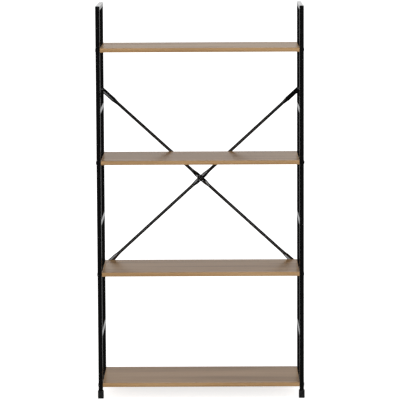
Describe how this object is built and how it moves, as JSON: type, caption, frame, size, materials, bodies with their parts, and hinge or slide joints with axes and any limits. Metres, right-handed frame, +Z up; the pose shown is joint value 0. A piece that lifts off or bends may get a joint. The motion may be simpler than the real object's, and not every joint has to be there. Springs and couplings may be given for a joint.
{
  "type": "shelving unit",
  "caption": "Tall open shelving unit: wood-effect boards between black square-tube ladder frames, push-on plastic feet, and crossed round brace rods with flattened ends behind.",
  "frame": {"origin": "on the floor, in the middle of the unit's bounding box in X and Y", "axes": "+Z up; the open front faces -Y and the brace rods lie at +Y; +X to the right as seen from the front"},
  "size_m": [0.7656, 0.3482, 1.45],
  "materials": {
    "wood_laminate": "satin wood-effect laminate with a warmer edge band",
    "black_coat": "semi-gloss black powder coat",
    "black_plastic": "satin black moulding",
    "black_steel": "black plated"
  },
  "bodies": {
    "root": {"shelf_bottom": "wood_laminate", "shelf_lower": "wood_laminate", "shelf_upper": "wood_laminate", "shelf_top": "wood_laminate", "upright_left_front_lower": "black_coat", "upright_left_front_upper": "black_coat", "upright_left_rear_lower": "black_coat", "upright_left_rear_upper": "black_coat", "upright_right_front_lower": "black_coat", "upright_right_front_upper": "black_coat", "upright_right_rear_lower": "black_coat", "upright_right_rear_upper": "black_coat", "rung_left_lower": "black_coat", "rung_left_middle": "black_coat", "rung_left_upper": "black_coat", "rung_right_lower": "black_coat", "rung_right_middle": "black_coat", "rung_right_upper": "black_coat", "top_rail_left": "black_coat", "top_rail_right": "black_coat", "spigot_left_front": "black_coat", "spigot_left_rear": "black_coat", "spigot_right_front": "black_coat", "spigot_right_rear": "black_coat", "foot_left_front": "black_plastic", "foot_left_rear": "black_plastic", "foot_right_front": "black_plastic", "foot_right_rear": "black_plastic", "brace_rod_rising": "black_coat", "brace_rod_falling": "black_coat", "brace_bolt_left_upper": "black_steel", "brace_bolt_left_lower": "black_steel", "brace_bolt_right_upper": "black_steel", "brace_bolt_right_lower": "black_steel", "brace_bolt_centre": "black_steel", "brace_nut_left_upper": "black_steel", "brace_nut_left_lower": "black_steel", "brace_nut_right_upper": "black_steel", "brace_nut_right_lower": "black_steel", "brace_nut_centre": "black_steel", "shelf_screw_left_front_bottom": "black_steel", "shelf_screw_left_front_lower": "black_steel", "shelf_screw_left_front_upper": "black_steel", "shelf_screw_left_front_top": "black_steel", "shelf_screw_left_rear_bottom": "black_steel", "shelf_screw_left_rear_lower": "black_steel", "shelf_screw_left_rear_upper": "black_steel", "shelf_screw_left_rear_top": "black_steel", "shelf_screw_right_front_bottom": "black_steel", "shelf_screw_right_front_lower": "black_steel", "shelf_screw_right_front_upper": "black_steel", "shelf_screw_right_front_top": "black_steel", "shelf_screw_right_rear_bottom": "black_steel", "shelf_screw_right_rear_lower": "black_steel", "shelf_screw_right_rear_upper": "black_steel", "shelf_screw_right_rear_top": "black_steel"}
  },
  "joints": []
}
